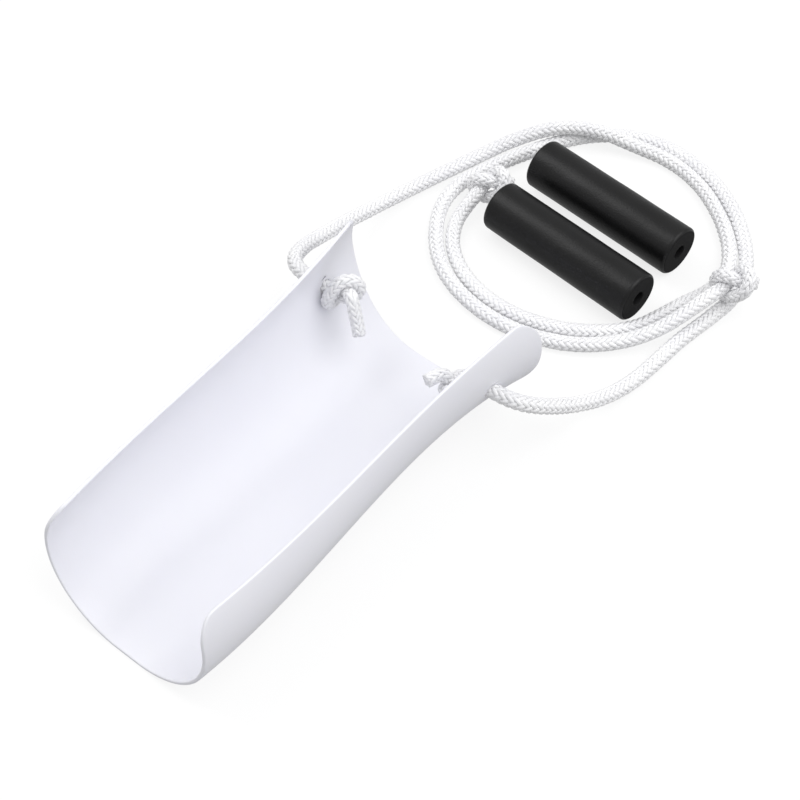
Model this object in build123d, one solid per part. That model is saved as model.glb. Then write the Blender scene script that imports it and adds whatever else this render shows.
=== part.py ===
from build123d import *
import math
import os

# Sock aid: an open plastic trough that a sock is gathered on, two braided cords that pull it up
# over the foot, and two loose foam grips.  Row frame: millimetres, +Z up.  The trough lies with
# its open side up and its length along Y, the heel end towards +Y.  The origin is on the floor
# under the middle of the trough.

# ---- driving dimensions ---------------------------------------------------------------------
TROUGH_LENGTH = 240.0
TOE_Y = -TROUGH_LENGTH / 2
HEEL_Y = TROUGH_LENGTH / 2
SHEET = 2.0                     # sheet thickness
BASE_PLANED = 0.1               # depth taken off the underside, so that it rests on a true plane
# Outer section of the trough at four stations along Y: half width of the flat base, radius of
# the wall that rises from it, and height of the wall's lip.
STATIONS = [
    (TOE_Y, 6.5, 43.5, 66.0),
    (-10.0, 4.6, 47.8, 65.0),
    (70.0, 3.7, 50.3, 67.5),
    (HEEL_Y, 16.6, 46.3, 71.0),
]
TOE_LEAN = 8.0                  # how far the lip stands back from the base at the toe end
TOE_CORNER = 17.0               # radius of the two toe corners
EAR_CORNER = 17.0               # radius of the two ears at the heel end
HEEL_CUT_DEPTH = 11.5           # heel cut-out, an arc between the ears
HEEL_CUT_HALF_WIDTH = 62.0
TRIM_MARGIN = 0.5               # the trimming solids reach this far past the sheet
TRIM_HEIGHT = 90.0
TRIM_HALF_WIDTH = 100.0

CORD_DIAMETER = 8.0
CORD_HOLE_DIAMETER = 9.0
HOLE_Y = 89.0
HOLE_Z = 38.5

KNOT_RADIUS = 9.5
TAIL_DIAMETER = 7.5

GRIP_DIAMETER = 29.0
GRIP_LENGTH = 100.0
GRIP_BORE_DIAMETER = 8.0
GRIP_EDGE_ROUND = 2.0
GRIP_TURN = -5.0                # degrees from +X, about +Z
GRIP_CENTRES = {"front_grip": (17.8, 208.5), "rear_grip": (16.5, 250.5)}

# Route of each cord's centre line, from inside its ear to its end knot.
LEFT_ROUTE = [
    (-51.0, 89.0, 38.5), (-65.5, 88.2, 38.5), (-80.5, 93.0, 36.5), (-86.5, 108.0, 31.0),
    (-88.0, 126.0, 24.0), (-89.5, 146.0, 16.5), (-89.0, 168.0, 9.5), (-86.0, 191.0, 5.2),
    (-79.5, 216.0, 4.0), (-72.0, 240.0, 4.0), (-61.0, 266.0, 7.2), (-44.5, 286.0, 12.8),
    (-24.0, 298.5, 12.8), (-4.0, 306.0, 6.4), (17.0, 309.5, 4.0), (40.0, 304.5, 4.0),
    (61.5, 291.0, 4.0), (78.5, 275.0, 4.0), (86.0, 258.0, 4.0), (84.3, 241.0, 4.0),
    (80.8, 224.0, 4.0), (79.6, 207.0, 4.0), (73.0, 191.2, 4.0), (56.5, 177.8, 4.0),
    (36.0, 167.5, 4.0), (11.0, 162.5, 4.0), (-14.0, 165.5, 4.0), (-34.0, 177.0, 4.0),
    (-45.5, 193.5, 4.0), (-49.0, 210.0, 6.0), (-50.5, 220.0, 9.0),
]
RIGHT_ROUTE = [
    (51.0, 89.0, 38.5), (62.5, 89.6, 38.0), (73.0, 96.0, 34.0), (79.5, 108.0, 26.0),
    (85.0, 124.0, 16.0), (90.0, 142.5, 7.5), (94.0, 162.0, 4.0), (96.0, 183.0, 4.0),
    (97.5, 203.0, 4.0), (101.5, 225.0, 4.0), (104.0, 246.0, 4.0), (99.5, 265.0, 4.0),
    (88.5, 282.0, 4.0), (70.5, 300.0, 4.0), (46.5, 314.5, 4.0), (19.5, 320.5, 4.0),
    (-6.0, 317.0, 4.0), (-27.0, 303.0, 4.0), (-41.5, 283.5, 4.0), (-51.5, 261.5, 4.0),
    (-60.5, 241.0, 4.0), (-67.0, 221.0, 4.0), (-66.0, 201.0, 4.0), (-54.5, 180.5, 4.0),
    (-36.5, 163.5, 4.0), (-13.0, 153.0, 4.0), (14.0, 150.0, 4.0), (39.0, 155.0, 4.0),
    (60.0, 166.0, 4.2), (77.0, 181.5, 6.4), (88.0, 199.0, 10.1), (94.0, 217.5, 13.6),
    (99.0, 233.5, 17.0),
]

# Centre of each knot and the end of the short tail that stands out of it.
KNOTS = {
    "left_stop_knot": ((-42.5, 89.0, 38.5), (-33.0, 81.0, 21.0)),
    "right_stop_knot": ((42.5, 89.0, 38.5), (29.0, 75.5, 36.0)),
    "left_end_knot": ((-52.0, 226.5, 11.5), (-45.5, 240.0, 10.0)),
    "right_end_knot": ((102.0, 241.0, 18.0), (114.0, 251.0, 17.0)),
}


def wall_angle(radius, lip):
    """Angle that a wall turns through from the base to a lip at this height."""
    return math.acos(1.0 - lip / radius)


def on_wall(base, radius, angle, inset):
    """Point of the right wall, inset from the outer surface, as (X, Z)."""
    reach = radius - inset
    return base + reach * math.sin(angle), radius - reach * math.cos(angle)


def trough_section(y, base, radius, lip):
    """Closed band of the sheet's thickness, with round lips, in the plane at this Y."""
    turn = wall_angle(radius, lip)
    half = turn / 2
    lip_turn = turn + SHEET / 2 / radius

    def place(point, side=1):
        return Vector(side * point[0], y, point[1] - BASE_PLANED)

    def points(side):
        outer = [on_wall(base, radius, a, 0.0) for a in (0.0, half, turn)]
        inner = [on_wall(base, radius, a, SHEET) for a in (turn, half, 0.0)]
        tip = on_wall(base, radius, lip_turn, SHEET / 2)
        return [place(p, side) for p in outer + [tip] + inner]

    right = points(1)
    left = points(-1)
    edges = [
        Line(left[0], right[0]),
        ThreePointArc(right[0], right[1], right[2]),
        ThreePointArc(right[2], right[3], right[4]),
        ThreePointArc(right[4], right[5], right[6]),
        Line(right[6], left[6]),
        ThreePointArc(left[6], left[5], left[4]),
        ThreePointArc(left[4], left[3], left[2]),
        ThreePointArc(left[2], left[1], left[0]),
    ]
    return make_face(Wire(edges))


def side_trim():
    """Solid that keeps the trough's side outline: planed base, leaning toe, round corners."""
    lip_toe = STATIONS[0][3]
    lip_ear = STATIONS[-1][3]
    outline = Polyline(
        (TOE_Y, 0.0),
        (TOE_Y + TOE_LEAN, lip_toe + TRIM_MARGIN),
        (HEEL_Y, lip_ear + TRIM_MARGIN),
        (HEEL_Y, 0.0),
        close=True,
    )
    face = make_face(Plane.YZ * outline)
    corners = face.vertices().sort_by(Axis.Z)[-2:].sort_by(Axis.Y)
    face = fillet(corners[0], TOE_CORNER)
    ear = face.vertices().sort_by(Axis.Y)[-2:].sort_by(Axis.Z)[-1]
    face = fillet(ear, EAR_CORNER)
    return extrude(face, amount=TRIM_HALF_WIDTH, both=True)


def heel_cut():
    """Solid that cuts the arc between the ears, straight down through the base."""
    half = HEEL_CUT_HALF_WIDTH
    arc = ThreePointArc(
        (-half, HEEL_Y),
        (0.0, HEEL_Y - HEEL_CUT_DEPTH),
        (half, HEEL_Y),
    )
    back = Polyline(
        (half, HEEL_Y),
        (half, HEEL_Y + HEEL_CUT_DEPTH),
        (-half, HEEL_Y + HEEL_CUT_DEPTH),
        (-half, HEEL_Y),
    )
    face = make_face(Wire([arc] + list(back.edges())))
    return extrude(Pos(0, 0, -TRIM_MARGIN) * face, amount=TRIM_HEIGHT)


def trough():
    band = loft([trough_section(*station) for station in STATIONS])
    body = band & side_trim()
    body -= heel_cut()
    hole = Cylinder(CORD_HOLE_DIAMETER / 2, 2 * TRIM_HALF_WIDTH)
    body -= Pos(0, HOLE_Y, HOLE_Z) * Rot(0, 90, 0) * hole
    return body


def bend_radii(route):
    """Radius of the arc at each corner of a route: as large as its two runs allow."""
    points = [Vector(p) for p in route]
    radii = []
    for before, corner, after in zip(points, points[1:], points[2:]):
        run_in = corner - before
        run_out = after - corner
        half_turn = math.radians(run_in.get_angle(run_out)) / 2
        shorter = min(run_in.length, run_out.length)
        radii.append(0.45 * shorter / math.tan(half_turn))
    return radii


def cord_tube(name, route):
    """Plain round tube along straight runs joined by tangent arcs."""
    radii = bend_radii(route)
    path = FilletPolyline(*route, radius=radii)
    start = Plane(origin=path @ 0, z_dir=path % 0)
    tube = sweep(start * Circle(CORD_DIAMETER / 2), path=path)
    expected = math.pi * CORD_DIAMETER**2 / 4 * path.length
    print(f"{name}: length {path.length:.0f} mm, radii {min(radii):.1f} mm and up")
    print(f"  radii {[round(r, 1) for r in radii]}")
    print(f"  volume {tube.volume:.0f}, section times length {expected:.0f} mm3")
    return tube


def knot(centre, tail_end):
    """Ball of an overhand knot with its short cut tail."""
    middle = Vector(centre)
    reach = Vector(tail_end) - middle
    along_tail = Plane(origin=middle, z_dir=reach)
    ball = along_tail * Sphere(KNOT_RADIUS)
    tail = extrude(along_tail * Circle(TAIL_DIAMETER / 2), amount=reach.length)
    return ball + tail


def grip(centre):
    """Foam tube with a bore for the cord, resting on the floor."""
    tube = Cylinder(GRIP_DIAMETER / 2, GRIP_LENGTH)
    tube -= Cylinder(GRIP_BORE_DIAMETER / 2, GRIP_LENGTH)
    rims = [e for e in tube.edges().filter_by(GeomType.CIRCLE) if e.radius > GRIP_BORE_DIAMETER]
    tube = fillet(rims, GRIP_EDGE_ROUND)
    return Pos(centre[0], centre[1], GRIP_DIAMETER / 2) * Rot(0, 0, GRIP_TURN) * Rot(0, 90, 0) * tube


os.makedirs("parts", exist_ok=True)
nodes = {
    "trough": trough(),
    "left_cord": cord_tube("left_cord", LEFT_ROUTE),
    "right_cord": cord_tube("right_cord", RIGHT_ROUTE),
}
for name, (centre, tail_end) in KNOTS.items():
    nodes[name] = knot(centre, tail_end)
for name, centre in GRIP_CENTRES.items():
    nodes[name] = grip(centre)
for name, shape in nodes.items():
    export_step(shape, f"parts/{name}.step")
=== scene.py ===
import math

import bmesh
import bpy
import numpy as np
from mathutils import Matrix, Vector


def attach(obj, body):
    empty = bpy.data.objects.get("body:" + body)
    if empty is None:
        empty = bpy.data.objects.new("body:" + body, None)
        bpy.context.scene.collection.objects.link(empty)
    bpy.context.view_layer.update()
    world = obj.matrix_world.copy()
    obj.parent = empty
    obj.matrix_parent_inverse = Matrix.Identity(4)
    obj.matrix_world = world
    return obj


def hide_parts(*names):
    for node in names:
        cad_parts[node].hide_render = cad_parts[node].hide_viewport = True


# Sock aid: a white plastic trough, two braided white cords with knots, and two black foam grips.
# Metres, in the row frame: the trough lies along Y with its heel end towards +Y.

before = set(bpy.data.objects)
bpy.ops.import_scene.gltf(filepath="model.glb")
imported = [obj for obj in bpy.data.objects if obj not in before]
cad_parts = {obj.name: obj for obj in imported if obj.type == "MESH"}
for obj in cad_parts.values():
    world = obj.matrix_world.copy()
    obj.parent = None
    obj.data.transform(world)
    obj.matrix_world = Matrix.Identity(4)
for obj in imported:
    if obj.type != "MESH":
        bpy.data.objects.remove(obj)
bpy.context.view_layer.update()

RNG = np.random.default_rng(7)
MM = 0.001

# ---- camera ---------------------------------------------------------------------------------
CAMERA_AZIMUTH = 38.97
CAMERA_ELEVATION = 52.44
CAMERA_TARGET = Vector((0.0045, 0.0789, 0.0))
CAMERA_DISTANCE = 0.9102
CAMERA_LENS = 78.285

# ---- cords ----------------------------------------------------------------------------------
CORD_DIAMETER = 8.0 * MM
CREST_RADIUS = 4.35 * MM        # the strands' crests stand a little proud of the round cord
CARRIERS = 8                    # strands that wind each way round the cord
BRAID_PITCH = 30.0 * MM         # length in which a strand goes once round
SAMPLES_PER_CELL = 2            # a cell is the stretch between two crossings of one strand
STRAND_SIDES = 7

LEFT_ROUTE = [
    (-51.0, 89.0, 38.5), (-65.5, 88.2, 38.5), (-80.5, 93.0, 36.5), (-86.5, 108.0, 31.0),
    (-88.0, 126.0, 24.0), (-89.5, 146.0, 16.5), (-89.0, 168.0, 9.5), (-86.0, 191.0, 5.2),
    (-79.5, 216.0, 4.0), (-72.0, 240.0, 4.0), (-61.0, 266.0, 7.2), (-44.5, 286.0, 12.8),
    (-24.0, 298.5, 12.8), (-4.0, 306.5, 6.4), (17.0, 311.9, 4.0), (41.2, 306.9, 4.0),
    (63.6, 293.4, 4.0), (81.2, 276.8, 4.0), (91.2, 260.0, 4.0), (91.8, 241.5, 4.0),
    (84.5, 224.0, 4.0), (79.6, 207.0, 4.0), (73.0, 191.0, 4.0), (57.5, 176.0, 4.0),
    (37.2, 164.6, 4.0), (11.0, 159.1, 4.0), (-15.2, 163.1, 4.0), (-36.5, 175.4, 4.0),
    (-48.5, 192.5, 4.0), (-51.0, 209.5, 6.0), (-50.5, 220.0, 9.0),
]
RIGHT_ROUTE = [
    (51.0, 89.0, 38.5), (62.5, 89.6, 38.0), (73.0, 96.0, 34.0), (79.5, 108.0, 26.0),
    (85.0, 124.0, 16.0), (90.0, 142.5, 7.5), (94.0, 162.0, 4.0), (96.0, 183.0, 4.0),
    (97.5, 203.0, 4.0), (101.5, 225.0, 4.0), (104.0, 246.0, 4.0), (99.5, 265.0, 4.0),
    (88.5, 282.0, 4.0), (70.5, 300.0, 4.0), (46.5, 314.5, 4.0), (19.5, 320.5, 4.0),
    (-6.0, 317.0, 4.0), (-27.0, 303.0, 4.0), (-41.5, 283.5, 4.0), (-51.5, 261.5, 4.0),
    (-60.0, 241.0, 4.0), (-65.8, 221.0, 4.0), (-64.2, 201.5, 4.0), (-53.5, 181.3, 4.0),
    (-36.5, 163.5, 4.0), (-13.0, 153.0, 4.0), (14.0, 150.0, 4.0), (39.0, 155.0, 4.0),
    (60.0, 166.0, 4.2), (77.0, 181.5, 6.4), (88.0, 199.0, 10.1), (94.0, 217.5, 13.6),
    (99.0, 233.5, 17.0),
]


# ---- small helpers --------------------------------------------------------------------------
def unit(v):
    v = np.asarray(v, float)
    return v / np.linalg.norm(v, axis=-1, keepdims=True)


def arc_lengths(points):
    steps = np.linalg.norm(np.diff(points, axis=0), axis=1)
    return np.concatenate([[0.0], np.cumsum(steps)])


def resample(points, step):
    """The same line with evenly spaced points about step apart."""
    along = arc_lengths(points)
    count = max(2, round(along[-1] / step) + 1)
    wanted = np.linspace(0.0, along[-1], count)
    return np.stack([np.interp(wanted, along, points[:, k]) for k in range(3)], axis=1)


def smooth(points, rounds):
    """Evens out a line's kinks; its two ends stay where they are."""
    for _ in range(rounds):
        points = points.copy()
        points[1:-1] += 0.5 * ((points[:-2] + points[2:]) / 2 - points[1:-1])
    return points


def new_mesh_object(name, vertices, faces, uvs=None):
    mesh = bpy.data.meshes.new(name)
    mesh.from_pydata([tuple(v) for v in vertices], [], [tuple(f) for f in faces])
    if uvs is not None:
        layer = mesh.uv_layers.new(name="UVMap")
        index = np.zeros(len(mesh.loops), np.int32)
        mesh.loops.foreach_get("vertex_index", index)
        layer.data.foreach_set("uv", np.asarray(uvs, np.float32)[index].ravel())
    mesh.shade_smooth()
    mesh.update()
    obj = bpy.data.objects.new(name, mesh)
    bpy.context.scene.collection.objects.link(obj)
    return obj


def spline_line(name, route):
    """Points read from the smooth NURBS line of a route given in millimetres.

    It is lifted by as much as the strands' crests stand proud of the round cord."""
    curve = bpy.data.curves.new(name, "CURVE")
    curve.dimensions = "3D"
    curve.resolution_u = 16
    spline = curve.splines.new("NURBS")
    spline.points.add(len(route) - 1)
    for point, place in zip(spline.points, route):
        point.co = (place[0] * MM, place[1] * MM, place[2] * MM, 1.0)
    spline.order_u = 3
    spline.use_endpoint_u = True
    holder = bpy.data.objects.new(name, curve)
    bpy.context.scene.collection.objects.link(holder)
    bpy.context.view_layer.update()
    mesh = bpy.data.meshes.new_from_object(holder)
    line = np.array([v.co for v in mesh.vertices], float)
    line[:, 2] += CREST_RADIUS - CORD_DIAMETER / 2
    bpy.data.objects.remove(holder)
    bpy.data.meshes.remove(mesh)
    bpy.data.curves.remove(curve)
    return line


def turning_frames(points):
    """Two directions across a line, at right angles, that don't twist along it."""
    tangents = unit(np.gradient(points, axis=0))
    side = np.cross(tangents[0], (0.0, 0.0, 1.0))
    if np.linalg.norm(side) < 0.1:
        side = np.cross(tangents[0], (1.0, 0.0, 0.0))
    sides = [unit(side)]
    for tangent in tangents[1:]:
        last = sides[-1]
        sides.append(unit(last - tangent * (last @ tangent)))
    sides = np.array(sides)
    return sides, np.cross(tangents, sides)


# ---- knots ----------------------------------------------------------------------------------
KNOT_LENGTH = 26                # length of cord that the knot is tied in, in diameters
KNOT_REACH = 15.4               # how far apart its two ends are pulled, in diameters
KNOT_PULL = 0.02                # how far each end is pulled in a turn, in diameters
KNOT_TURNS = 2600               # turns of the tying, and how many of them still pull
KNOT_PULLING_TURNS = 2200
KNOT_STIFFNESS = 0.08
KNOT_CORD = 7.0 * MM            # the cord is squeezed where it is knotted
KNOT_EXIT = 1.1                 # where its tail leaves, in squeezed diameters past its middle


def tight_overhand(diameter):
    """Centre line of an overhand knot pulled tight, both ends along X, its middle at 0."""
    t = np.linspace(-2.15, 2.15, 600)
    loose = np.stack([t**3 - 3 * t, t**4 - 4 * t**2, (t**5 - 10 * t) * 0.22], axis=1)
    spacing = diameter / 4
    total = KNOT_LENGTH * diameter
    line = loose * (total / arc_lengths(loose)[-1])
    line = resample(line, spacing)
    rest = arc_lengths(line)[-1] / (len(line) - 1)
    count = len(line)
    first, second = np.triu_indices(count, k=int(1.6 * diameter / rest))
    pull = KNOT_PULL * diameter
    for turn in range(KNOT_TURNS):
        reach = line[-1] - line[0]
        if turn < KNOT_PULLING_TURNS and np.linalg.norm(reach) < KNOT_REACH * diameter:
            line[-1] += pull * unit(reach)
            line[0] -= pull * unit(reach)
        line[1:-1] += KNOT_STIFFNESS * ((line[:-2] + line[2:]) / 2 - line[1:-1])
        for _ in range(3):
            for start in (0, 1):
                a = line[start:-1:2]
                b = line[start + 1::2]
                gap = b - a
                length = np.linalg.norm(gap, axis=1, keepdims=True)
                move = 0.5 * (length - rest) * gap / length
                line[start:-1:2] += move
                line[start + 1::2] -= move
        gap = line[second] - line[first]
        length = np.linalg.norm(gap, axis=1)
        near = length < diameter
        push = 0.5 * (diameter - length[near])[:, None] * gap[near] / length[near][:, None]
        moved = np.zeros_like(line)
        shares = np.zeros(count)
        np.add.at(moved, second[near], push)
        np.add.at(moved, first[near], -push)
        np.add.at(shares, second[near], 1)
        np.add.at(shares, first[near], 1)
        line += moved / np.maximum(shares, 1)[:, None]
    return smooth(line, 6)


def aim(forward, roll):
    """Rotation that turns +X to this direction, with a roll about it in degrees."""
    turn = Vector(forward).to_track_quat("X", "Z").to_matrix()
    about = Vector(forward).normalized()
    return np.array(Matrix.Rotation(math.radians(roll), 3, about) @ turn)


def tail_line(start, direction, aim_at, length, bend):
    """Line that leaves start along direction and turns towards aim_at within the bend length."""
    steps = 24
    place = np.array(start, float)
    line = [place.copy()]
    for k in range(steps):
        share = min(1.0, (k + 0.5) / steps * length / bend)
        share = share * share * (3 - 2 * share)
        heading = unit(np.asarray(direction) * (1 - share) + np.asarray(aim_at) * share)
        place = place + heading * length / steps
        line.append(place.copy())
    return np.array(line[1:])


def tied_knot(shape, start, direction, entry, roll, tail_aim, tail_length, bend):
    """Line of a knot that starts at a cord's end, and of the tail that leaves it.

    The entry is how far the knot's middle lies past the cord's end, in squeezed diameters."""
    size = KNOT_CORD
    inside = np.nonzero(shape[:, 0] > -entry)[0][0]
    outside = np.nonzero(shape[:, 0] < KNOT_EXIT)[0][-1]
    body = shape[inside:outside + 1] * size
    heading = unit(body[2] - body[0])
    level = aim(heading, 0.0)
    turned = (body - body[0]) @ level @ aim(direction, roll).T
    turned = turned + np.asarray(start)
    leaving = unit(turned[-1] - turned[-3])
    tail = tail_line(turned[-1], leaving, unit(tail_aim), tail_length, bend)
    return np.concatenate([turned, tail])


# ---- braid ----------------------------------------------------------------------------------
CELL = BRAID_PITCH / (2 * CARRIERS)
STEP = CELL / SAMPLES_PER_CELL
STRAND_HALF_WIDTH = 1.20 * MM
STRAND_HALF_THICKNESS = 0.80 * MM
STRAND_WAVE = 0.60 * MM         # how far a strand rises and dips over and under the others
CORE_RADIUS = 2.3 * MM
CORE_SIDES = 8
CUT_SAMPLES = 3                 # a cut end is fused: there the core fills the strands
CUT_FILL = 1.5


def wander(count, size, waves):
    """Slow random variation along a strand."""
    x = np.linspace(0.0, 1.0, count)
    total = np.zeros(count)
    for k in range(1, waves + 1):
        total += RNG.normal() * np.sin(2 * np.pi * (k * 5 * x + RNG.random())) / waves**0.5
    return size * total


def braid(line, girth):
    """Strand rings along a line: for each strand, at each sample, the points round its section.

    Sixteen strands, eight each way, each over two and under two of the others."""
    count = len(line)
    along = np.arange(count) * STEP
    cells = along / CELL
    sides, ups = turning_frames(line)
    middle = CREST_RADIUS - STRAND_WAVE - STRAND_HALF_THICKNESS
    corners = np.linspace(0.0, 2 * np.pi, STRAND_SIDES, endpoint=False)
    fill = np.ones(count)
    fill[:CUT_SAMPLES] = CUT_FILL
    fill[-CUT_SAMPLES:] = CUT_FILL
    strands = []
    for way in (1, -1):
        for k in range(CARRIERS):
            turn = way * 2 * np.pi * along / BRAID_PITCH + 2 * np.pi * k / CARRIERS
            turn = turn + wander(count, 0.03, 6)
            phase = (2 * k + cells - 0.5) if way > 0 else (2 * k - cells - 2.5)
            rise = np.cos(2 * np.pi * phase / 4)
            rise = rise * (1.35 - 0.35 * rise**2)
            radius = (middle + STRAND_WAVE * rise + wander(count, 0.035 * MM, 8)) * girth
            radial = np.cos(turn)[:, None] * sides + np.sin(turn)[:, None] * ups
            centre = line + radius[:, None] * radial
            heading = unit(np.gradient(centre, axis=0))
            across = unit(np.cross(heading, radial))
            out = np.cross(across, heading)
            wide = STRAND_HALF_WIDTH * (1 + wander(count, 0.04, 7)) * girth
            thick = STRAND_HALF_THICKNESS * (1 + wander(count, 0.05, 7)) * girth
            ring = (
                centre[:, None]
                + across[:, None] * (wide[:, None] * np.cos(corners))[..., None]
                + out[:, None] * (thick[:, None] * np.sin(corners))[..., None]
            )
            strands.append(ring)
    around = np.linspace(0.0, 2 * np.pi, CORE_SIDES, endpoint=False)
    core = line[:, None] + CORE_RADIUS * (girth * fill)[:, None, None] * (
        np.cos(around)[None, :, None] * sides[:, None]
        + np.sin(around)[None, :, None] * ups[:, None]
    )
    return strands + [core]


def rope_piece(name, tubes, first, last):
    """One mesh of the closed tubes between two samples."""
    vertices = []
    faces = []
    uvs = []
    base = 0
    for tube in tubes:
        part = tube[first:last + 1]
        rings, sides = part.shape[:2]
        index = base + np.arange(rings * sides).reshape(rings, sides)
        beside = np.roll(index, -1, axis=1)
        quads = np.stack([index[:-1], beside[:-1], beside[1:], index[1:]], axis=-1)
        faces += quads.reshape(-1, 4).tolist()
        faces.append(index[0][::-1].tolist())
        faces.append(index[-1].tolist())
        vertices.append(part.reshape(-1, 3))
        u = np.repeat(np.arange(first, first + rings) * STEP, sides)
        v = np.tile(np.abs(np.linspace(-1, 1, sides, endpoint=False)), rings)
        uvs.append(np.stack([u, v], axis=1))
        base += rings * sides
    return new_mesh_object(name, np.concatenate(vertices), faces, np.concatenate(uvs))


def rope(side, route, stop, end):
    """A cord with its stop knot, its end knot and the pieces that stand for them."""
    line = spline_line(side + "_line", route)
    before = tied_knot(OVERHAND, line[0], line[0] - line[2], **stop)[::-1]
    after = tied_knot(OVERHAND, line[-1], line[-1] - line[-3], **end)
    whole = np.concatenate([before[:-1], line, after[1:]])
    starts = arc_lengths(whole)
    whole_line = resample(whole, STEP)
    first = round(starts[len(before) - 1] / STEP)
    last = round(starts[len(before) - 1 + len(line) - 1] / STEP)
    shrink = KNOT_CORD / CORD_DIAMETER
    girth = np.ones(len(whole_line))
    girth[:first] = shrink
    girth[last:] = shrink
    for _ in range(12):
        girth[1:-1] = (girth[:-2] + girth[1:-1] + girth[2:]) / 3
    tubes = braid(whole_line, girth)
    cord = rope_piece(side + "_braided_cord", tubes, first, last)
    stop_knot = rope_piece(side + "_tied_stop_knot", tubes, 0, first)
    end_knot = rope_piece(side + "_tied_end_knot", tubes, last, len(whole_line) - 1)
    for piece, node in (
        (cord, side + "_cord"),
        (stop_knot, side + "_stop_knot"),
        (end_knot, side + "_end_knot"),
    ):
        piece.data.materials.append(CORD_MATERIAL)
        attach(piece, "trough")
        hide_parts(node)


# ---- trough ---------------------------------------------------------------------------------
# Outer section of the trough at four stations along Y: half width of the flat base, radius of
# the wall that rises from it, and height of the wall's lip.
STATIONS = np.array([
    (-120.0, 6.5, 43.5, 66.0),
    (-10.0, 4.6, 47.8, 65.0),
    (70.0, 3.7, 50.3, 67.5),
    (120.0, 16.6, 46.3, 71.0),
]) * MM
SECTION_FITS = [np.polyfit(STATIONS[:, 0], STATIONS[:, k], 3) for k in (1, 2, 3)]
SHEET = 2.0 * MM
BASE_PLANED = 0.1 * MM
TOE_Y, HEEL_Y = STATIONS[0, 0], STATIONS[-1, 0]
TOE_LEAN = 8.0 * MM
CORNER = 17.0 * MM              # radius of the toe corners and of the ears
TRIM_MARGIN = 0.5 * MM
HEEL_CUT_DEPTH = 11.5 * MM
HEEL_CUT_HALF_WIDTH = 62.0 * MM
HEEL_CUT_RADIUS = (HEEL_CUT_HALF_WIDTH**2 + HEEL_CUT_DEPTH**2) / (2 * HEEL_CUT_DEPTH)
CORD_HOLE_RADIUS = 4.5 * MM
HOLE_Y, HOLE_Z = 89.0 * MM, 38.5 * MM

ACROSS = 112                    # mesh cells across the toe and along the lips
LENGTHWAYS = 120
EDGE_ROUND = 0.7 * MM           # rounding of the sheet's cut edges
EDGE_BAND = 3.0 * MM            # the grid of the faces stops this far inside the outline
EDGE_RING = 1.7 * MM            # one more ring between the grid and the rounded edge
HOLE_BAND = 2.2 * MM            # width of the ring of even faces round a cord hole
EDGE_STEPS = 4
HOLE_BLOCK = 8                  # cells on a side of the square of the grid that holds a cord hole


def section(y):
    """Half width of the base, wall radius and lip height at a place along the trough."""
    return [np.polyval(fit, y) for fit in SECTION_FITS]


def on_sheet(s, y, depth):
    """Points at a distance s round the section, y along the trough, and a depth into the sheet."""
    base, radius, _ = section(y)
    angle = np.maximum(np.abs(s) - base, 0.0) / radius
    reach = radius - depth
    x = np.sign(s) * (np.minimum(np.abs(s), base) + reach * np.sin(angle))
    z = np.maximum(radius - reach * np.cos(angle) - BASE_PLANED, 0.0)
    return np.stack([x, y + 0 * s, z], axis=-1)


def round_to(y, z):
    """Distance round the section at which the outer surface is at this height."""
    base, radius, _ = section(y)
    return base + radius * np.arccos(1 - np.minimum(z + BASE_PLANED, 1.99 * radius) / radius)


def toe_edge(s):
    """Y of the leaning toe edge at each distance round the section."""
    y = np.full_like(s, TOE_Y)
    for _ in range(6):
        y = TOE_Y + TOE_LEAN * on_sheet(s, y, 0.0)[:, 2] / (STATIONS[0, 3] + TRIM_MARGIN)
    return y


def heel_edge(s):
    """Y of the heel edge at each distance round the section: the ears' ends and the cut-out."""
    y = np.full_like(s, HEEL_Y)
    for _ in range(6):
        x = on_sheet(s, y, 0.0)[:, 0]
        arc = HEEL_Y - HEEL_CUT_DEPTH + HEEL_CUT_RADIUS - np.sqrt(HEEL_CUT_RADIUS**2 - x**2)
        y = np.minimum(HEEL_Y, arc)
    return y


def corner_arc(corner, before, after):
    """Points of the arc of the corner radius between two lines of the side view, as (y, z)."""
    corner, before, after = (np.array(p) for p in (corner, before, after))
    u = unit(before - corner)
    v = unit(after - corner)
    half = math.acos(u @ v) / 2
    centre = corner + unit(u + v) * CORNER / math.sin(half)
    start = corner + u * CORNER / math.tan(half)
    spread = math.pi - 2 * half
    way = 1 if u[0] * v[1] - u[1] * v[0] < 0 else -1
    angles = np.linspace(0.0, spread, 41) * way
    arm = start - centre
    turned = [arm[0] * np.cos(angles) - arm[1] * np.sin(angles),
              arm[0] * np.sin(angles) + arm[1] * np.cos(angles)]
    return centre + np.stack(turned, axis=1)


def even(points, count):
    """The same open line in the (s, y) plane with this many equal cells."""
    along = arc_lengths(points)
    wanted = np.linspace(0.0, along[-1], count + 1)
    return np.stack([np.interp(wanted, along, points[:, k]) for k in (0, 1)], axis=1)


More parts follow.
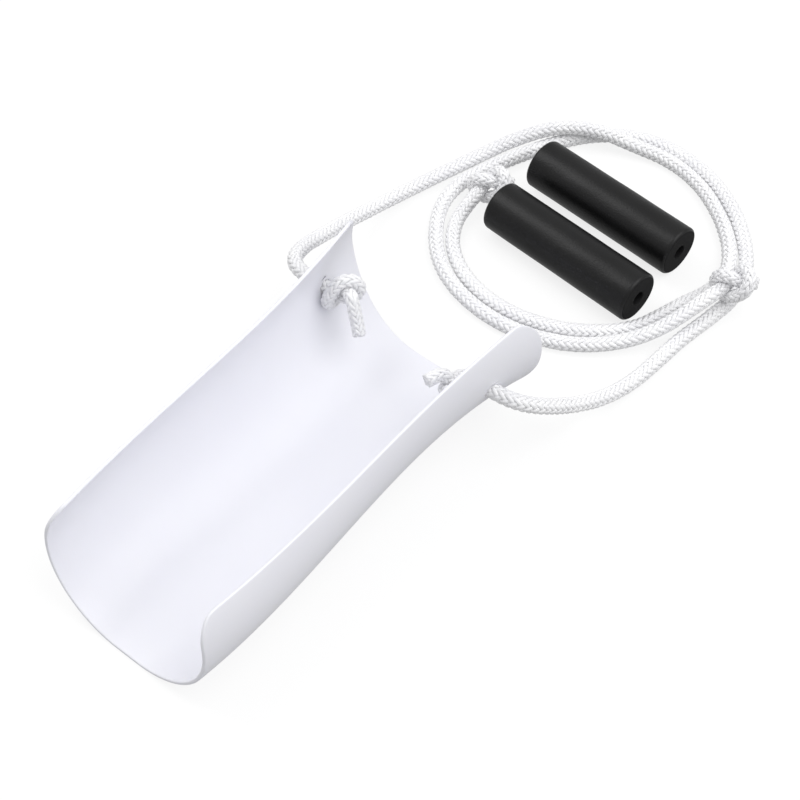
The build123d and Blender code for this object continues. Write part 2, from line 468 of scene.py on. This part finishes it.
def sheet_outline():
    """Outline of the unrolled sheet as four sides of (s, y) points, split at mid corner.

    Toe from left to right, right lip towards the heel, heel from right to left, left lip back."""
    toe_top = (TOE_Y + TOE_LEAN, STATIONS[0, 3] + TRIM_MARGIN)
    heel_top = (HEEL_Y, STATIONS[-1, 3] + TRIM_MARGIN)
    toe_arc = corner_arc(toe_top, (TOE_Y, 0.0), heel_top)
    ear_arc = corner_arc(heel_top, toe_top, (HEEL_Y, 0.0))
    toe_s = np.linspace(0.0, round_to(toe_arc[0, 0], toe_arc[0, 1]), 80)
    toe = np.stack([toe_s, toe_edge(toe_s)], axis=1)
    lip_y = np.linspace(TOE_Y, HEEL_Y, 200)
    lip_s = round_to(lip_y, section(lip_y)[2])

    def corner(arc):
        s = np.minimum(round_to(arc[:, 0], arc[:, 1]), np.interp(arc[:, 0], lip_y, lip_s))
        return np.stack([s, np.minimum(arc[:, 0], heel_edge(s))], axis=1)

    toe_corner = corner(toe_arc)
    ear_corner = corner(ear_arc)
    between = (lip_y > toe_arc[-1, 0]) & (lip_y < ear_arc[0, 0])
    lip = np.stack([lip_s[between], lip_y[between]], axis=1)
    heel_s = np.linspace(ear_corner[-1, 0], 0.0, 80)
    heel = np.stack([heel_s, heel_edge(heel_s)], axis=1)
    mid = len(toe_arc) // 2
    toe_half = np.concatenate([toe, toe_corner[1:mid + 1]])
    lip_side = np.concatenate([toe_corner[mid:], lip, ear_corner[:mid + 1]])
    heel_half = np.concatenate([ear_corner[mid:], heel[1:]])
    mirror = np.array([-1.0, 1.0])
    toe_side = even(np.concatenate([(toe_half * mirror)[::-1], toe_half[1:]]), ACROSS)
    heel_side = even(np.concatenate([heel_half, (heel_half * mirror)[::-1][1:]]), ACROSS)
    right_side = even(lip_side, LENGTHWAYS)
    left_side = (right_side * mirror)[::-1]
    return toe_side, right_side, heel_side, left_side


def sheet_grid(toe, right, heel, left):
    """Grid of (s, y) points inside four sides, evened out so that no cell folds."""
    heel, left = heel[::-1], left[::-1]
    u = np.linspace(0.0, 1.0, len(toe))[:, None, None]
    v = np.linspace(0.0, 1.0, len(right))[None, :, None]
    along = (1 - v) * toe[:, None] + v * heel[:, None]
    over = (1 - u) * left[None] + u * right[None]
    corners = ((1 - u) * (1 - v) * toe[0] + u * (1 - v) * toe[-1]
               + (1 - u) * v * heel[0] + u * v * heel[-1])
    grid = along + over - corners
    for _ in range(150):
        grid[1:-1, 1:-1] = (grid[:-2, 1:-1] + grid[2:, 1:-1] + grid[1:-1, :-2] + grid[1:-1, 2:]) / 4
    return grid


def edge_profile():
    """Insets from the outline and depths into the sheet, from the outer face to the inner."""
    turns = np.linspace(0.0, math.pi / 2, EDGE_STEPS + 1)
    outer = [(EDGE_ROUND * (1 - math.sin(t)), EDGE_ROUND * (1 - math.cos(t))) for t in turns]
    inner = [(inset, SHEET - depth) for inset, depth in outer[::-1]]
    return outer + inner


def trough_mesh():
    """The moulded sheet: two faces of even quads, rounded edges, and a hole in each ear."""
    sides = sheet_outline()
    loop = np.concatenate([side[:-1] for side in sides])
    for _ in range(2):
        loop = (np.roll(loop, 1, axis=0) + 2 * loop + np.roll(loop, -1, axis=0)) / 4
    heading = unit(np.roll(loop, -1, axis=0) - np.roll(loop, 1, axis=0))
    outward = np.stack([heading[:, 1], -heading[:, 0]], axis=1)

    band = loop - outward * EDGE_BAND
    starts = np.cumsum([0] + [len(side) - 1 for side in sides])
    inset_sides = [band[np.arange(a, b + 1) % len(band)] for a, b in zip(starts, starts[1:])]
    grid = sheet_grid(*inset_sides)
    rows, columns = grid.shape[:2]

    vertices = []
    faces = []

    def add(points):
        first = sum(len(v) for v in vertices)
        vertices.append(points)
        return first + np.arange(len(points))

    def strip(ring, next_ring):
        for k in range(len(ring)):
            after = (k + 1) % len(ring)
            faces.append((ring[k], ring[after], next_ring[after], next_ring[k]))

    def border(index, low, high):
        """Indices round a block of the grid, from its low corner, the first side along rows."""
        (i0, j0), (i1, j1) = low, high
        return np.concatenate([
            index[i0:i1, j0], index[i1, j0:j1], index[i1:i0:-1, j1], index[i0, j1:j0:-1]])

    hole_s = round_to(HOLE_Y, HOLE_Z)
    blocks = []
    for way in (1, -1):
        near = np.linalg.norm(grid - (way * hole_s, HOLE_Y), axis=2)
        i, j = np.unravel_index(near.argmin(), near.shape)
        half = HOLE_BLOCK // 2
        blocks.append(((i - half, j - half), (i + half, j + half), way))

    grids = []
    for depth in (0.0, SHEET):
        index = add(on_sheet(grid[..., 0], grid[..., 1], depth).reshape(-1, 3))
        index = index.reshape(rows, columns)
        grids.append(index)
        for i in range(rows - 1):
            for j in range(columns - 1):
                if any(a <= i < c and b <= j < d for (a, b), (c, d), _ in blocks):
                    continue
                faces.append((index[i, j], index[i + 1, j], index[i + 1, j + 1], index[i, j + 1]))

    profile = edge_profile()
    rings = [border(grids[0], (0, 0), (rows - 1, columns - 1))]
    for inset, depth in [(EDGE_RING, 0.0)] + profile + [(EDGE_RING, SHEET)]:
        ring = loop - outward * inset
        rings.append(add(on_sheet(ring[:, 0], ring[:, 1], depth)))
    rings.append(border(grids[1], (0, 0), (rows - 1, columns - 1)))
    for ring, next_ring in zip(rings, rings[1:]):
        strip(ring, next_ring)

    for low, high, way in blocks:
        flat = grid.reshape(-1, 2)
        around = flat[border(np.arange(rows * columns).reshape(rows, columns), low, high)]
        centre = np.array((way * hole_s, HOLE_Y))
        angles = np.arctan2(around[:, 1] - centre[1], around[:, 0] - centre[0])
        angles = angles[0] + np.linspace(0.0, 2 * np.pi, len(angles), endpoint=False)
        circle = np.stack([np.cos(angles), np.sin(angles)], axis=1)
        reach = CORD_HOLE_RADIUS + HOLE_BAND
        middle = (around + centre + reach * circle) / 2
        rings = [border(grids[0], low, high)]
        steps = [(middle, 0.0), (centre + reach * circle, 0.0)]
        steps += [(centre + (CORD_HOLE_RADIUS + inset) * circle, depth) for inset, depth in profile]
        steps += [(centre + reach * circle, SHEET), (middle, SHEET)]
        for points, depth in steps:
            rings.append(add(on_sheet(points[:, 0], points[:, 1], depth)))
        rings.append(border(grids[1], low, high))
        for ring, next_ring in zip(rings, rings[1:]):
            strip(ring, next_ring)
    return np.concatenate(vertices), faces


def outward_faces(obj):
    """Turns every face of a closed mesh to point out of it."""
    shape = bmesh.new()
    shape.from_mesh(obj.data)
    bmesh.ops.remove_doubles(shape, verts=shape.verts, dist=1e-6)
    bmesh.ops.recalc_face_normals(shape, faces=shape.faces)
    shape.to_mesh(obj.data)
    shape.free()
    obj.data.shade_smooth()


def trough():
    vertices, faces = trough_mesh()
    piece = new_mesh_object("moulded_trough", vertices, faces)
    outward_faces(piece)
    piece.data.materials.append(PLASTIC_MATERIAL)
    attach(piece, "trough")
    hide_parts("trough")


# ---- grips ----------------------------------------------------------------------------------
GRIP_RADIUS = 14.5 * MM
GRIP_BORE_RADIUS = 4.0 * MM
GRIP_LENGTH = 100.0 * MM
GRIP_EDGE_ROUND = 2.0 * MM
GRIP_BORE_ROUND = 0.5 * MM
GRIP_TURN = -5.0
GRIP_SIDES = 128
GRIP_CENTRES = {"front_grip": (17.8, 208.5), "rear_grip": (16.5, 250.5)}
FOAM_RELIEF = 0.04 * MM         # how far the foam's surface wanders
FOAM_WAVES = 24
CUT_FACE_RADIUS = GRIP_RADIUS - 0.6 * GRIP_EDGE_ROUND   # the skin starts at this radius
FOAM_SKIN = dict(
    colours=((0.0020, 0.0020, 0.0023), (0.0048, 0.0048, 0.0052)),
    specular=0.31,
    roughness=0.38,
)
FOAM_CUT = dict(
    colours=((0.0022, 0.0022, 0.0025), (0.0045, 0.0045, 0.0049)),
    specular=0.20,
    roughness=0.75,
)


def grip_profile():
    """Half of a grip's section, from the bore's middle round the rim to the tube's middle."""
    end = GRIP_LENGTH / 2
    points = [(x, GRIP_BORE_RADIUS) for x in np.linspace(0.0, end - GRIP_BORE_ROUND, 12)]
    for turn in np.linspace(0.0, math.pi / 2, 4)[1:]:
        points.append((end - GRIP_BORE_ROUND * (1 - math.sin(turn)),
                       GRIP_BORE_RADIUS + GRIP_BORE_ROUND * (1 - math.cos(turn))))
    face_low = GRIP_BORE_RADIUS + GRIP_BORE_ROUND
    face_high = GRIP_RADIUS - GRIP_EDGE_ROUND
    points += [(end, r) for r in np.linspace(face_low, face_high, 12)[1:]]
    for turn in np.linspace(0.0, math.pi / 2, 9)[1:]:
        points.append((end - GRIP_EDGE_ROUND * (1 - math.cos(turn)),
                       face_high + GRIP_EDGE_ROUND * math.sin(turn)))
    points += [(x, GRIP_RADIUS) for x in np.linspace(end - GRIP_EDGE_ROUND, 0.0, 62)[1:]]
    return points


def grip(node, number):
    """Foam tube turned on its own axis, resting on the floor, with duller cut ends and bore."""
    half = grip_profile()
    whole = half + [(-x, r) for x, r in half[::-1][1:-1]]
    along, radius = np.array(whole).T
    angles = np.linspace(0.0, 2 * np.pi, GRIP_SIDES, endpoint=False)
    x = np.repeat(along[:, None], GRIP_SIDES, axis=1)
    wave = np.zeros((len(whole), GRIP_SIDES))
    for _ in range(FOAM_WAVES):
        turns = RNG.integers(1, 9)
        waves = RNG.uniform(20, 240)
        wave += np.sin(turns * angles + waves * x + RNG.uniform(0, 2 * np.pi))
    skin = np.clip((radius - GRIP_BORE_RADIUS) / (GRIP_RADIUS - GRIP_BORE_RADIUS), 0, 1)
    relief = FOAM_RELIEF * (wave / FOAM_WAVES**0.5 - 1.0) * skin[:, None]
    r = radius[:, None] + np.minimum(relief, 0.0)
    local = np.stack([x, r * np.cos(angles), r * np.sin(angles)], axis=2).reshape(-1, 3)
    turn = np.array(Matrix.Rotation(math.radians(GRIP_TURN), 3, "Z"))
    centre = GRIP_CENTRES[node]
    place = np.array((centre[0] * MM, centre[1] * MM, GRIP_RADIUS))
    index = np.arange(len(whole) * GRIP_SIDES).reshape(len(whole), GRIP_SIDES)
    beside = np.roll(index, -1, axis=1)
    ahead = np.roll(index, -1, axis=0)
    corner = np.roll(beside, -1, axis=0)
    quads = np.stack([index, ahead, corner, beside], axis=-1).reshape(-1, 4)
    piece = new_mesh_object("foam_" + node, local @ turn.T + place, quads.tolist())
    outward_faces(piece)
    piece.data.materials.append(foam_material("foam_skin", number, **FOAM_SKIN))
    piece.data.materials.append(foam_material("foam_cut", number, **FOAM_CUT))
    cut = r.reshape(-1)[quads].mean(axis=1) < CUT_FACE_RADIUS
    piece.data.polygons.foreach_set("material_index", cut.astype(np.int32))
    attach(piece, node)
    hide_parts(node)


# ---- materials ------------------------------------------------------------------------------
def new_material(name):
    material = bpy.data.materials.new(name)
    material.use_nodes = True
    nodes = material.node_tree.nodes
    return material, nodes, material.node_tree.links, nodes["Principled BSDF"]


def add_bump(nodes, links, shader, height, distance, strength, after=None):
    """Bump from a height output, on top of another bump node if there is one."""
    bump = nodes.new("ShaderNodeBump")
    bump.inputs["Distance"].default_value = distance
    bump.inputs["Strength"].default_value = strength
    links.new(height, bump.inputs["Height"])
    if after is not None:
        links.new(after.outputs["Normal"], bump.inputs["Normal"])
    links.new(bump.outputs["Normal"], shader.inputs["Normal"])
    return bump


def add_noise(nodes, links, source, scale, detail, stretch=(1.0, 1.0, 1.0)):
    """Noise over a coordinate output, stretched along its axes."""
    mapping = nodes.new("ShaderNodeMapping")
    mapping.inputs["Scale"].default_value = stretch
    links.new(source, mapping.inputs["Vector"])
    noise = nodes.new("ShaderNodeTexNoise")
    noise.inputs["Scale"].default_value = scale
    noise.inputs["Detail"].default_value = detail
    links.new(mapping.outputs["Vector"], noise.inputs["Vector"])
    return noise.outputs["Fac"]


def add_ramp(nodes, links, source, low, high, start=0.3, end=0.7):
    """Colour that goes from low to high as the source goes from start to end."""
    ramp = nodes.new("ShaderNodeValToRGB")
    ramp.color_ramp.elements[0].position = start
    ramp.color_ramp.elements[0].color = (*low, 1.0)
    ramp.color_ramp.elements[1].position = end
    ramp.color_ramp.elements[1].color = (*high, 1.0)
    links.new(source, ramp.inputs["Fac"])
    return ramp.outputs["Color"]


def cord_material():
    """Bright filament yarn: fine filaments along each strand, a soft silky gloss."""
    material, nodes, links, shader = new_material("braided_cord")
    uv = nodes.new("ShaderNodeUVMap")
    uv.uv_map = "UVMap"
    filaments = add_noise(nodes, links, uv.outputs["UV"], 1.0, 2.0, (220.0, 11.0, 1.0))
    place = nodes.new("ShaderNodeTexCoord").outputs["Object"]
    patches = add_noise(nodes, links, place, 60.0, 2.0)
    colour = add_ramp(nodes, links, patches, (0.82, 0.82, 0.84), (0.88, 0.88, 0.89))
    links.new(colour, shader.inputs["Base Color"])
    add_bump(nodes, links, shader, filaments, 0.12 * MM, 0.7)
    shader.inputs["Roughness"].default_value = 0.42
    shader.inputs["Specular IOR Level"].default_value = 0.5
    shader.inputs["Sheen Weight"].default_value = 0.15
    shader.inputs["Sheen Roughness"].default_value = 0.4
    shader.inputs["Subsurface Weight"].default_value = 0.12
    shader.inputs["Subsurface Radius"].default_value = (1.0, 1.0, 1.0)
    shader.inputs["Subsurface Scale"].default_value = 0.6 * MM
    return material


def plastic_material():
    """White polyethylene sheet: half gloss, a faint orange peel and slow unevenness."""
    material, nodes, links, shader = new_material("moulded_plastic")
    place = nodes.new("ShaderNodeTexCoord").outputs["Object"]
    patches = add_noise(nodes, links, place, 14.0, 3.0)
    colour = add_ramp(nodes, links, patches, (0.80, 0.802, 0.855), (0.82, 0.822, 0.87))
    links.new(colour, shader.inputs["Base Color"])
    peel = add_noise(nodes, links, place, 900.0, 3.0)
    waves = add_noise(nodes, links, place, 38.0, 1.0)
    first = add_bump(nodes, links, shader, waves, 0.5 * MM, 0.25)
    add_bump(nodes, links, shader, peel, 0.05 * MM, 0.35, after=first)
    gloss = nodes.new("ShaderNodeMapRange")
    gloss.inputs["To Min"].default_value = 0.30
    gloss.inputs["To Max"].default_value = 0.42
    links.new(add_noise(nodes, links, place, 90.0, 4.0), gloss.inputs["Value"])
    links.new(gloss.outputs["Result"], shader.inputs["Roughness"])
    shader.inputs["Specular IOR Level"].default_value = 0.5
    shader.inputs["Subsurface Weight"].default_value = 0.15
    shader.inputs["Subsurface Radius"].default_value = (1.0, 1.0, 1.1)
    shader.inputs["Subsurface Scale"].default_value = 2.0 * MM
    return material


def foam_material(name, number, colours, specular, roughness):
    """Black closed-cell foam: fine pores, slow cloudiness, a dull surface."""
    material, nodes, links, shader = new_material(f"{name}_{number}")
    place = nodes.new("ShaderNodeTexCoord").outputs["Object"]
    clouds = add_noise(nodes, links, place, 45.0 + number, 4.0)
    colour = add_ramp(nodes, links, clouds, *colours)
    links.new(colour, shader.inputs["Base Color"])
    cells = nodes.new("ShaderNodeTexVoronoi")
    cells.inputs["Scale"].default_value = 1500.0
    links.new(place, cells.inputs["Vector"])
    grain = add_noise(nodes, links, place, 520.0, 4.0)
    first = add_bump(nodes, links, shader, grain, 0.25 * MM, 0.35)
    add_bump(nodes, links, shader, cells.outputs["Distance"], 0.15 * MM, 0.35, after=first)
    shader.inputs["Roughness"].default_value = roughness
    shader.inputs["Specular IOR Level"].default_value = specular
    return material


CORD_MATERIAL = cord_material()
PLASTIC_MATERIAL = plastic_material()
OVERHAND = tight_overhand(1.0)

rope("left", LEFT_ROUTE,
     stop=dict(entry=0.95, roll=118.0, tail_aim=(0.36, -0.18, -0.90), tail_length=0.023, bend=0.004),
     end=dict(entry=0.75, roll=180.0, tail_aim=(0.75, 0.35, -0.35), tail_length=0.0025, bend=0.004))
rope("right", RIGHT_ROUTE,
     stop=dict(entry=1.1, roll=30.0, tail_aim=(-0.35, -0.93, -0.05), tail_length=0.011, bend=0.005),
     end=dict(entry=1.0, roll=180.0, tail_aim=(0.95, 0.05, -0.2), tail_length=0.002, bend=0.004))

trough()
for number, node in enumerate(GRIP_CENTRES):
    grip(node, number)


# ---- studio ---------------------------------------------------------------------------------
FLOOR_REACH = 12.0
FLOOR_COLOUR = 0.20             # the floor is lit and glows, so that shadows on it stay faint
FLOOR_GLOW = 0.80
SKY_LOW = 0.54                  # brightness of the studio at the horizon and below it
SKY_HIGH = 0.82                 # and overhead
LIGHT_AIM = Vector((0.0, 0.08, 0.0))
KEY = dict(place=Vector((0.80, 0.50, 1.25)), size=1.6, power=12.0)
FILL = dict(place=Vector((-0.80, 0.02, 1.15)), size=0.9, power=5.5)


def floor():
    """Plain pale floor. Its glow doesn't light the object: the sky below the horizon does."""
    reach = FLOOR_REACH
    corners = [(-reach, -reach, 0), (reach, -reach, 0), (reach, reach, 0), (-reach, reach, 0)]
    piece = new_mesh_object("floor", corners, [(0, 1, 2, 3)])
    material, _, _, shader = new_material("floor")
    shader.inputs["Base Color"].default_value = (FLOOR_COLOUR, FLOOR_COLOUR, FLOOR_COLOUR, 1)
    shader.inputs["Roughness"].default_value = 0.9
    shader.inputs["Specular IOR Level"].default_value = 0.0
    shader.inputs["Emission Color"].default_value = (1, 1, 1, 1)
    shader.inputs["Emission Strength"].default_value = FLOOR_GLOW
    piece.data.materials.append(material)
    piece.visible_diffuse = False
    piece.visible_glossy = False


def sky():
    """Soft studio light, brighter from above than from the sides."""
    world = bpy.data.worlds.new("studio")
    bpy.context.scene.world = world
    world.use_nodes = True
    nodes = world.node_tree.nodes
    links = world.node_tree.links
    split = nodes.new("ShaderNodeSeparateXYZ")
    links.new(nodes.new("ShaderNodeTexCoord").outputs["Generated"], split.inputs["Vector"])
    level = nodes.new("ShaderNodeMapRange")
    level.inputs["From Min"].default_value = 0.0
    level.inputs["From Max"].default_value = 1.0
    level.inputs["To Min"].default_value = SKY_LOW
    level.inputs["To Max"].default_value = SKY_HIGH
    links.new(split.outputs["Z"], level.inputs["Value"])
    background = nodes["Background"]
    background.inputs["Color"].default_value = (1, 1, 1, 1)
    links.new(level.outputs["Result"], background.inputs["Strength"])


def lamp(name, place, size, power):
    """Round soft lamp pointed at the object."""
    light = bpy.data.lights.new(name, "AREA")
    light.shape = "DISK"
    light.size = size
    light.energy = power
    holder = bpy.data.objects.new(name, light)
    holder.location = place
    holder.rotation_mode = "QUATERNION"
    holder.rotation_quaternion = (LIGHT_AIM - place).to_track_quat("-Z", "Y")
    bpy.context.scene.collection.objects.link(holder)


def camera():
    azimuth = math.radians(CAMERA_AZIMUTH)
    elevation = math.radians(CAMERA_ELEVATION)
    back = Vector((
        math.sin(azimuth) * math.cos(elevation),
        -math.cos(azimuth) * math.cos(elevation),
        math.sin(elevation),
    ))
    lens = bpy.data.cameras.new("camera")
    lens.sensor_width = 36.0
    lens.lens = CAMERA_LENS
    lens.clip_start = 0.05
    lens.clip_end = 20.0
    view = bpy.data.objects.new("camera", lens)
    view.location = CAMERA_TARGET + back * CAMERA_DISTANCE
    view.rotation_mode = "QUATERNION"
    view.rotation_quaternion = (-back).to_track_quat("-Z", "Y")
    bpy.context.scene.collection.objects.link(view)
    bpy.context.scene.camera = view


floor()
sky()
lamp("key", **KEY)
lamp("fill", **FILL)
camera()
bpy.context.scene.view_settings.view_transform = "Standard"
